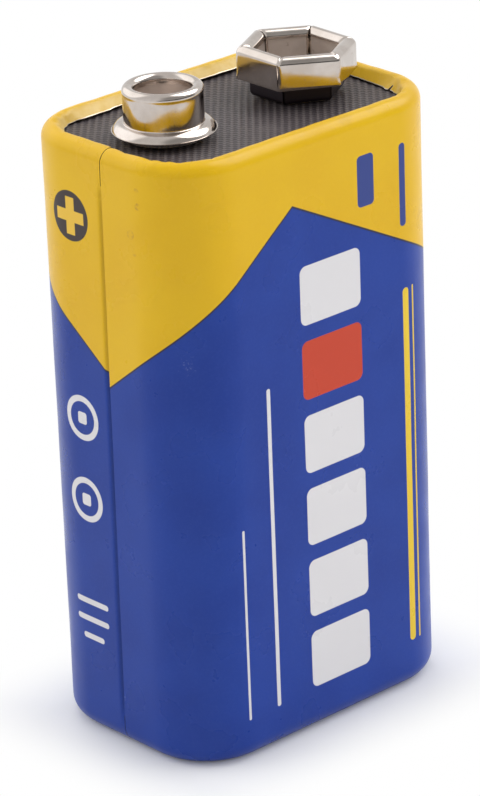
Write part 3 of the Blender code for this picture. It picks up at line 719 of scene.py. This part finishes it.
def build_jacket():
    """Fine wrap of tinplate with its lap seam, crimped rims and notched, uneven lip."""
    columns = wrap_columns()
    rows = jacket_rows(columns)
    width = len(columns)
    inset = np.array([row[0] for row in rows])
    height = np.array([row[1] for row in rows])
    way_in = np.array([row[2] for row in rows])
    way_up = np.array([row[3] for row in rows])
    along = np.broadcast_to(columns, inset.shape).copy()

    # The seam leans, so the columns near it lean too
    lean = SEAM_LEAN * (height - SEAM_MIDDLE)
    near_start = 1 - ease((along - SEAM_START) / (3.0 * MM))
    near_stop = ease((along - (SEAM_START + GIRTH - 4.0 * MM)) / (4.0 * MM))
    along = along + lean * (near_start + near_stop)

    # Slow waves in the wall, an uneven crest, puckers where the lip is drawn round the corners
    on_wall = ease((height - 2.0 * MM) / (4.0 * MM)) * ease((43.5 * MM - height) / (4.0 * MM))
    inset = inset + WALL_WAVE * ripple(along, height, 1.0) * on_wall
    on_top = ease((height - 44.4 * MM) / (0.8 * MM))
    height = height - CREST_WAVE * ripple(along * 2, 0.0, 3.0) * on_top
    turned_in = ease((inset - 0.7 * MM) / (0.45 * MM)) * on_top
    pleats = 1 - np.abs(np.sin(along / MM * 1.7 + 0.9 * np.sin(along / MM * 1.1))) ** 0.6
    puckered = np.maximum(corner_share(along), 0.7 * ease((-along - 1 * MM) / (3 * MM)))
    inset = inset + PUCKER_INSET * (pleats - 0.5) * turned_in * puckered
    height = height - PUCKER_DROP * pleats * turned_in * puckered

    # The rear end steps down under the front end along the wall
    seam_stop = along[:, -1:]
    before = (seam_stop - along) / JOGGLE_LENGTH
    in_lap = ease((height - LAP_LOW) / (1.0 * MM)) * ease((LAP_HIGH - height) / (1.0 * MM))
    inset = inset + JOGGLE_DEPTH * (1 - ease(before)) * in_lap

    outer, inner = sheet_sides(along, inset, height, way_in, way_up)
    count = len(rows)
    faces = grid_faces(count, width)
    wrap = np.stack([along / (100 * MM), height / (100 * MM)], -1).reshape(-1, 2)

    # The tail under the lap
    lap_rows = [row for row in range(count) if in_lap[row, -1] > 0.999]
    tail = np.linspace(0, LAP_WIDTH, 6)[1:]
    tail_along = along[lap_rows, -1:] + tail
    ones = np.ones_like(tail_along)
    tail_inset = inset[lap_rows, -1:] * ones
    tail_height = height[lap_rows, -1:] * ones
    tail_outer, tail_inner = sheet_sides(tail_along, tail_inset, tail_height, ones, 0 * ones)
    first = len(outer)
    for index in range(len(lap_rows) - 1):
        edge = [lap_rows[index] * width + width - 1, lap_rows[index + 1] * width + width - 1]
        for column in range(len(tail)):
            a = first + index * len(tail) + column
            low, high = (edge if column == 0 else (a - 1, a - 1 + len(tail)))
            faces.append((low, a, a + len(tail), high))
    outer = np.concatenate([outer, tail_outer])
    inner = np.concatenate([inner, tail_inner])
    tail_wrap = np.stack([tail_along / (100 * MM), tail_height / (100 * MM)], -1).reshape(-1, 2)
    wrap = np.concatenate([wrap, tail_wrap])

    # The row at the lip's end is bare metal, like the cut edges
    points, skin, kinds = thicken(outer, inner, faces)
    for column in range(width - 1):
        kinds[(count - 2) * (width - 1) + column] = 1
    finishes = [printed_paint(), tin_edge, tin_inside]
    wrap = np.concatenate([wrap, wrap])
    return mesh_piece("printed_jacket", points, skin, finishes, kinds, wrap)


def corner_share(along):
    """1 in the middle of each rounded corner, 0 on the flat stretches."""
    where = np.mod(along, GIRTH)
    share = np.zeros_like(along)
    start = 0.0
    for length in (2 * FLAT_X, 2 * FLAT_Y, 2 * FLAT_X, 2 * FLAT_Y):
        start += length
        inside = (where >= start) & (where <= start + CORNER_ARC)
        share = np.where(inside, np.sin(math.pi * (where - start) / CORNER_ARC), share)
        start += CORNER_ARC
    return share


def sheet_sides(along, inset, height, way_in, way_up):
    """The sheet's outer points, and its inner points one thickness further in."""
    sides = []
    for depth in (0.0, SHEET):
        x, y = outline(along, inset + way_in * depth)
        sides.append(np.stack([x, y, height + way_up * depth], -1).reshape(-1, 3))
    return sides


def build_board():
    """Terminal board with embossed ribs, and holes for the two rivets."""
    half_y = DEPTH / 2 - BOARD_INSET
    radius = CORNER - BOARD_INSET
    bends = FLAT_Y + radius * np.sin(np.radians(np.linspace(0, 90, 49)))[1:]
    levels = np.concatenate([-bends[::-1], np.linspace(-FLAT_Y, FLAT_Y, 75), bends])
    columns = 250
    share = np.linspace(-1, 1, columns + 1)
    over = np.clip(np.abs(levels) - FLAT_Y, 0, radius)
    half = FLAT_X + np.sqrt(np.maximum(radius * radius - over * over, 0.0))
    x = half[:, None] * share[None, :]
    y = np.broadcast_to(levels[:, None], x.shape)
    turn = math.cos(RIB_AZIMUTH), math.sin(RIB_AZIMUTH)
    ribs = 0.5 + 0.5 * np.cos(math.tau / RIB_PITCH * (x * turn[1] - y * turn[0]))
    cross = 0.5 + 0.5 * np.cos(math.tau / CROSS_PITCH * (x * turn[0] + y * turn[1]))
    edge = np.minimum.reduce([half[:, None] - np.abs(x), half_y - np.abs(y) + 0 * x])
    rounded = 0.1 * MM * (1 - ease(edge / (0.15 * MM)))
    z = BOARD_TOP - RIB_DEPTH * (1 - ribs**1.6 * (0.85 + 0.15 * cross)) - rounded
    points = np.stack([x, y, z], -1).reshape(-1, 3)
    width = columns + 1
    count = len(levels)
    faces = grid_faces(count, width)

    # The sides and the bottom, from the rim of the ribbed face down
    rim = list(range(width))
    rim += [row * width + columns for row in range(1, count)]
    rim += [(count - 1) * width + column for column in range(columns - 1, -1, -1)]
    rim += [row * width for row in range(count - 2, 0, -1)]
    low = points[rim].copy()
    low[:, 2] = BOARD_LOW
    first = len(points)
    size = len(rim)
    for index in range(size):
        after = (index + 1) % size
        faces.append((rim[index], first + index, first + after, rim[after]))
    faces.append(tuple(first + index for index in range(size - 1, -1, -1)))
    board = mesh_piece("embossed_board", np.concatenate([points, low]), faces, [embossed_black()])
    for place in (STUD_PLACE, SOCKET_PLACE):
        drill(board, place)
    return board


def drill(piece, place):
    """Cuts a rivet's hole, and keeps the result as the piece's own mesh."""
    turns = np.radians(np.arange(0, 360, 7.5))
    ring = np.stack([np.cos(turns) * HOLE_RADIUS, np.sin(turns) * HOLE_RADIUS], -1)
    size = len(ring)
    points = [(x + place.x, y + place.y, z) for z in (42 * MM, 46 * MM) for x, y in ring]
    faces = [tuple(range(size - 1, -1, -1)), tuple(range(size, 2 * size))]
    for index in range(size):
        after = (index + 1) % size
        faces.append((index, after, size + after, size + index))
    tool = mesh_piece("drill", points, faces, [])
    modifier = piece.modifiers.new("hole", "BOOLEAN")
    modifier.operation = "DIFFERENCE"
    modifier.solver = "EXACT"
    modifier.object = tool
    bpy.context.view_layer.update()
    cut_piece = piece.evaluated_get(bpy.context.evaluated_depsgraph_get())
    cut = bpy.data.meshes.new_from_object(cut_piece)
    piece.modifiers.clear()
    piece.data = cut
    bpy.data.objects.remove(tool, do_unlink=True)


def arc(centre, radius, start, stop, steps):
    """Points of an arc, angles in degrees, both ends included."""
    angles = np.radians(np.linspace(start, stop, steps + 1))
    return [(centre[0] + radius * math.cos(a), centre[1] + radius * math.sin(a)) for a in angles]


def turned(name, place, profile, steps, material):
    """Closed profile of (radius, height) in millimetres, turned round an upright axis."""
    profile = np.array(profile) * MM
    count = len(profile)
    points = []
    for angle in np.linspace(0, math.tau, steps, endpoint=False):
        c, s = math.cos(angle), math.sin(angle)
        for radius, height in profile:
            points.append((place.x + radius * c, place.y + radius * s, height))
    faces = []
    for step in range(steps):
        here = step * count
        there = (step + 1) % steps * count
        for index in range(count):
            down = (index + 1) % count
            faces.append((here + index, here + down, there + down, there + index))
    return mesh_piece(name, points, faces, [material])


def build_stud():
    """Drawn round contact: rolled rim, straight neck, domed flange, hub and floor."""
    profile = arc(BEAD_CENTRE, BEAD_RADIUS, 90, -12, 18)
    profile += [(2.838, 47.9), (2.833, 47.83), (2.832, 47.7)]
    profile += [(NECK_RADIUS, height) for height in (47.5, 46.8, 46.06, 45.96)]
    profile += arc((2.9, 45.9), 0.07, 180, 258, 5)
    profile += arc((2.88, 45.02), 0.81, 89, 20, 16)
    profile += arc((3.58, 45.28), 0.12, 5, -90, 7)
    profile += arc((2.98, 44.98), 0.18, 92, 176, 4)
    profile += [(2.8, 44.75), (2.75, FLOOR_LOW), (1.1, FLOOR_LOW), (1.1, FLOOR_TOP)]
    profile += arc((1.95, 45.25), 0.3, 270, 358, 7)
    profile += arc(BEAD_CENTRE, BEAD_RADIUS, 208, 98, 15)
    return turned("nickel_stud", STUD_PLACE, profile, 120, nickel)


def build_rivet(name, place):
    """Hollow eyelet with a domed head and a rolled clench."""
    profile = arc((1.45, 45.05), 0.3, 90, 0, 6)
    profile += [(1.75, 45.05), (1.0, 45.05), (1.0, 43.0)]
    profile += [(1.65, 43.0)] + arc((1.55, 42.8), 0.2, 60, -90, 7)
    profile += arc((0.8, 42.8), 0.2, 270, 180, 5) + arc((0.8, 45.15), 0.2, 180, 90, 5)
    return turned(name, place, profile, 64, nickel)


def leaf_path():
    """Apothems and heights along a leaf in millimetres, and how many of them rise."""
    path = arc((2.58, LEAF_FOOT), 0.18, 270, 360, 5)
    steps = (0.45, 0.9, *np.linspace(1.1, 2.84, 21)[:-1])
    path += [(LEAF_WALL, LEAF_FOOT + step) for step in steps]
    risers = len(path)
    path += arc(LEAF_FOLD, LEAF_FOLD_RADIUS, 180, 0, 20)
    steps = np.linspace(0, LEAF_SKIRT_LENGTH, 9)[1:]
    path += [(LEAF_SKIRT, LEAF_FOLD[1] - step) for step in steps]
    return np.array(path), risers


def leaf_widths(path, rising):
    """Half widths along a leaf: shut at the foot, parted above it, narrowed to a tongue."""
    gap = LEAF_OPENING * ease((path[:, 1] - 46.3) / 0.3) - LEAF_FOOT_OVERLAP
    gap[0] = 0.01
    full = path[:, 0] * math.tan(math.radians(30)) - gap
    down = np.clip((47.95 - path[:, 1]) / 1.15, 0, 1)
    tongue = LEAF_TONGUE + (full - LEAF_TONGUE) * np.sqrt(1 - down**2)
    narrowed = full + (tongue - full) * ease((path[:, 1] - 46.4) / 0.35)
    return np.where(rising, narrowed, full)


def leaf_points(path, half, rising):
    """Points of the six leaves in millimetres, row by row, and the length of a row."""
    step = np.gradient(path, axis=0)
    step /= np.linalg.norm(step, axis=1)[:, None]
    normal = np.stack([-step[:, 1], step[:, 0]], -1)
    rounding = np.where(rising, ease((path[:, 1] - 47.4) / 0.45), 1.0)
    middle = np.linspace(-0.86, 0.86, 13)[1:-1]
    across = np.concatenate([np.linspace(-1, -0.86, 7), middle, np.linspace(0.86, 1, 7)])
    points = []
    for leaf in range(6):
        turn = math.radians(60 * leaf)
        out = np.array([math.cos(turn), math.sin(turn)])
        along = np.array([-math.sin(turn), math.cos(turn)])
        for index, (apothem, height) in enumerate(path):
            offset = across * half[index]
            near_edge = (np.abs(offset) - (half[index] - LEAF_EDGE)) / LEAF_EDGE
            into = np.clip(near_edge, 0, 1) * LEAF_EDGE_DEPTH
            sunk = LEAF_EDGE_RADIUS - np.sqrt(LEAF_EDGE_RADIUS**2 - into**2)
            sunk = sunk * rounding[index] * 1.6
            reach = apothem - normal[index, 0] * sunk
            rise = height - normal[index, 1] * sunk
            for place in range(len(across)):
                spot = out * reach[place] + along * offset[place]
                points.append((spot[0], spot[1], rise[place]))
    return points, len(across)


def add_socket_floor(points, faces, foot, half_foot, rows, columns):
    """Adds the floor, from the leaves' feet in to the rivet's hole."""
    apothem, level = foot
    half_angle = math.atan2(half_foot, apothem)
    span = math.radians(60) - 2 * half_angle
    corner = math.hypot(half_foot, apothem)
    ring = []
    for leaf in range(6):
        ring += [leaf * rows * columns + column for column in range(columns)]
        for share in (0.12, 0.3, 0.5, 0.7, 0.88):
            radius = corner - 0.02 * math.sin(math.pi * share)
            angle = math.radians(60 * leaf) + half_angle + span * share
            ring.append(len(points))
            points.append((radius * math.cos(angle), radius * math.sin(angle), level))
    outer_ring = np.array([points[index] for index in ring])
    angles = np.arctan2(outer_ring[:, 1], outer_ring[:, 0])
    radius = HOLE_RADIUS / MM
    hole = [radius * np.cos(angles), radius * np.sin(angles), 0 * angles + level]
    hole = np.stack(hole, -1)
    for share in (0.34, 0.67, 1.0):
        inner_ring = []
        for spot in outer_ring + (hole - outer_ring) * share:
            inner_ring.append(len(points))
            points.append(tuple(spot))
        for index in range(len(ring)):
            after = (index + 1) % len(ring)
            faces.append((ring[index], ring[after], inner_ring[after], inner_ring[index]))
        ring = inner_ring


def build_socket():
    """Hexagonal contact: a closed foot, and six leaves that fold outwards and hang as a skirt."""
    path, risers = leaf_path()
    rising = np.arange(len(path)) < risers
    half = leaf_widths(path, rising)
    points, columns = leaf_points(path, half, rising)
    rows = len(path)
    faces = []
    for leaf in range(6):
        for a, b, c, d in grid_faces(rows, columns, leaf * rows * columns):
            faces.append((a, d, c, b))
    add_socket_floor(points, faces, path[0], half[0], rows, columns)
    points = np.array(points) * MM

    # The other side of the sheet, one thickness behind the visible one
    normals = vertex_normals(points, faces)
    behind = points - normals * SHEET
    skin_points, skin, _ = thicken(points, behind, faces)

    # The socket leans and sits a little low, more so towards its top
    lifted = ease((skin_points[:, 2] - 45.2 * MM) / (2.5 * MM))
    sideways = skin_points[:, 0] * TILT_WAY.x + skin_points[:, 1] * TILT_WAY.y
    skin_points[:, 2] -= lifted * (0.1 * MM + math.tan(SOCKET_TILT) * sideways)
    skin_points[:, 0] += SOCKET_PLACE.x
    socket = mesh_piece("nickel_socket", skin_points, skin, [nickel])
    bevel = socket.modifiers.new("edges", "BEVEL")
    bevel.width = 0.07 * MM
    bevel.segments = 3
    bevel.limit_method = "ANGLE"
    bevel.angle_limit = math.radians(55)
    socket.data.shade_smooth()
    smooth = socket.modifiers.new("normals", "WEIGHTED_NORMAL")
    smooth.weight = 80
    return socket


def vertex_normals(points, faces):
    """Unit normals of a mesh's points, averaged over the faces round each."""
    corners = np.array(faces)
    a, b, c, d = (points[corners[:, index]] for index in range(4))
    normal = np.cross(c - a, d - b)
    normal /= np.maximum(np.linalg.norm(normal, axis=1), 1e-18)[:, None]
    total = np.zeros_like(points)
    for index in range(4):
        np.add.at(total, corners[:, index], normal)
    return total / np.linalg.norm(total, axis=1)[:, None]


def dress(piece, slot, *nodes):
    """Puts a piece on the body in place of CAD nodes."""
    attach(piece, "root")
    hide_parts(*nodes)


def build_floor():
    """Pale floor that turns into the white surroundings away from the object."""
    g = Finish("pale_floor")
    beyond = g.vector("SUBTRACT", g.vector("ABSOLUTE", g.place), (WIDTH / 2, DEPTH / 2, 1.0))
    away = g.vector("LENGTH", g.vector("MAXIMUM", beyond, (0.0, 0.0, 0.0)))
    paper = g.mix(g.noise(60.0, 3.0), srgb(246, 246, 247), srgb(250, 250, 250))
    g.set(Base_Color=paper, Roughness=0.75, Specular_IOR_Level=0.15)
    light = g.tree.nodes.new("ShaderNodeEmission")
    rays = g.tree.nodes.new("ShaderNodeLightPath")
    straight = g.math("MAXIMUM", rays.outputs["Is Camera Ray"], rays.outputs["Is Transmission Ray"])
    straight = g.times(straight, g.ease(away, -0.001, 0.007))
    mirrored = g.times(rays.outputs["Is Glossy Ray"], g.ease(away, 0.0, 0.04))
    blend = g.tree.nodes.new("ShaderNodeMixShader")
    g.put(blend.inputs[0], g.math("MAXIMUM", straight, mirrored))
    g.put(blend.inputs[1], g.shader.outputs[0])
    g.put(blend.inputs[2], light.outputs[0])
    g.put(g.tree.nodes["Material Output"].inputs["Surface"], blend.outputs[0])
    span = np.linspace(-STAGE_HALF, STAGE_HALF, STAGE_LINES)
    points = [(x, y, STAGE_LEVEL) for y in span for x in span]
    faces = grid_faces(STAGE_LINES, STAGE_LINES)
    floor = mesh_piece("floor", points, faces, [g.material])


def build_world():
    """Surroundings: white to the camera, even for matt surfaces, patterned in mirrored light."""
    world = bpy.data.worlds.new("studio")
    world.use_nodes = True
    g = Graph(world.node_tree)
    background = g.tree.nodes["Background"]
    way = g.tree.nodes.new("ShaderNodeTexCoord").outputs["Generated"]
    rays = g.tree.nodes.new("ShaderNodeLightPath")

    def towards(axis, low, high):
        return g.ease(g.vector("DOT_PRODUCT", way, axis), low, high)

    # Dimmer overhead, towards the camera and low in front, with a bright box right and left
    overhead = g.times(towards((0.0, 0.0, 1.0), 0.25, 0.75), OVERHEAD_DIM)
    camera_side = g.times(towards((0.1, -0.9, 0.42), 0.55, 0.85), CAMERA_SIDE_DIM)
    right_box = g.times(towards((0.61, -0.2, 0.767), 0.87, 0.955), RIGHT_BOX_GAIN)
    left_box = g.times(towards((-0.25, 0.83, 0.5), 0.75, 0.88), LEFT_BOX_GAIN)
    low = g.math("SUBTRACT", 1.0, towards((0.0, 0.0, 1.0), 0.12, 0.34))
    skyline = g.times(low, towards((0.0, -1.0, 0.0), 0.45, 0.65))
    mirrored = g.math("SUBTRACT", MIRRORED_LEVEL, g.math("ADD", overhead, camera_side))
    mirrored = g.math("ADD", mirrored, g.math("ADD", right_box, left_box))
    mirrored = g.times(mirrored, g.math("MULTIPLY_ADD", skyline, -SKYLINE_DIM, 1.0))

    # The level for each kind of ray
    for_matt = rays.outputs["Is Diffuse Ray"]
    for_camera = rays.outputs["Is Camera Ray"]
    level = g.times(g.math("SUBTRACT", 1.0, for_matt), mirrored)
    level = g.math("ADD", g.times(for_matt, MATT_LEVEL), level)
    level = g.times(level, g.math("SUBTRACT", 1.0, for_camera))
    level = g.math("ADD", level, for_camera)
    g.put(background.inputs["Color"], (1.0, 1.0, 1.0, 1.0))
    g.put(background.inputs["Strength"], level)
    bpy.context.scene.world = world


def softbox(name, place, size, power):
    """Large soft lamp that points at the battery. Glossy surfaces mirror the world's boxes."""
    data = bpy.data.lights.new(name, "AREA")
    data.shape = "RECTANGLE"
    data.size, data.size_y = size
    data.energy = power
    lamp = bpy.data.objects.new(name, data)
    lamp.location = place
    lamp.visible_glossy = False
    aim = LAMPS_AIM - Vector(place)
    lamp.rotation_euler = aim.to_track_quat("-Z", "Y").to_euler()
    bpy.context.scene.collection.objects.link(lamp)


def build_camera():
    """Camera at the photograph's place."""
    data = bpy.data.cameras.new("camera")
    data.sensor_width = SENSOR_WIDTH
    data.lens = FOCAL_PIXELS * SENSOR_WIDTH / PICTURE_HEIGHT
    data.clip_start = 0.01
    data.clip_end = 10.0
    camera = bpy.data.objects.new("camera", data)
    turn = Matrix((CAMERA_RIGHT, CAMERA_UP, -CAMERA_LOOK)).transposed().to_4x4()
    camera.matrix_world = Matrix.Translation(CAMERA_PLACE) @ turn
    bpy.context.scene.collection.objects.link(camera)
    bpy.context.scene.camera = camera


tin_edge = bare_tin("tin_edge", srgb(190, 180, 165), srgb(135, 122, 105), 0.34)
tin_inside = bare_tin("tin_inside", srgb(190, 182, 165), srgb(150, 138, 118), 0.35)
nickel = bright_nickel()

dress(build_jacket(), "printed_tin", "jacket")
dress(build_board(), "black_board", "terminal_board")
dress(build_stud(), "nickel", "positive_stud")
dress(build_socket(), "nickel", "negative_socket")
dress(build_rivet("eyelet_by_stud", STUD_PLACE), "nickel", "positive_rivet")
dress(build_rivet("eyelet_by_socket", SOCKET_PLACE), "nickel", "negative_rivet")

# The pieces inside keep their CAD shapes
card = plain_stock(
    "grey_fibre_card", srgb(182, 172, 155), srgb(150, 140, 124), 0.82, 500.0, 0.02 * MM
)
film = plain_stock(
    "milky_film", srgb(205, 202, 196), srgb(186, 182, 174), 0.38, 200.0, 0.004 * MM
)
sheet_zinc = plain_stock(
    "rolled_zinc",
    srgb(176, 180, 184),
    srgb(128, 132, 138),
    0.45,
    300.0,
    0.006 * MM,
    stretch=(1.0, 9.0, 1.0),
    metallic=1.0,
)
strip_tin = plain_stock(
    "tinned_steel",
    srgb(202, 202, 198),
    srgb(160, 160, 156),
    0.34,
    350.0,
    0.004 * MM,
    stretch=(9.0, 1.0, 1.0),
    metallic=1.0,
)
pasted = plain_stock(
    "pasted_paper", srgb(216, 210, 193), srgb(182, 172, 148), 0.88, 700.0, 0.02 * MM
)
powder = plain_stock(
    "pressed_powder", srgb(56, 55, 54), srgb(24, 24, 25), 0.9, 1400.0, 0.05 * MM
)
lower_board = embossed_black()
INSIDE = {
    "bottom_plate": lower_board,
    "bottom_insulator": card,
    "top_insulator": card,
    "jacket_liner": card,
    "collector_plate": strip_tin,
    "positive_tab": strip_tin,
    "negative_strip": strip_tin,
    "stack_sleeve": film,
    "cell_envelope": film,
    "zinc_plate": sheet_zinc,
    "separator": pasted,
    "cathode_cake": powder,
}
for name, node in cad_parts.items():
    for start, material in INSIDE.items():
        if name.startswith(start):
            node.data.materials.clear()
            node.data.materials.append(material)

build_floor()
build_world()
softbox("left_box", (-0.24, 0.29, 0.3), (0.34, 0.3), 0.63)
softbox("right_box", (0.26, -0.34, 0.24), (0.34, 0.3), 0.42)
softbox("top_box", (0.1, 0.24, 0.38), (0.24, 0.24), 0.37)
build_camera()
bpy.context.scene.view_settings.view_transform = "Standard"
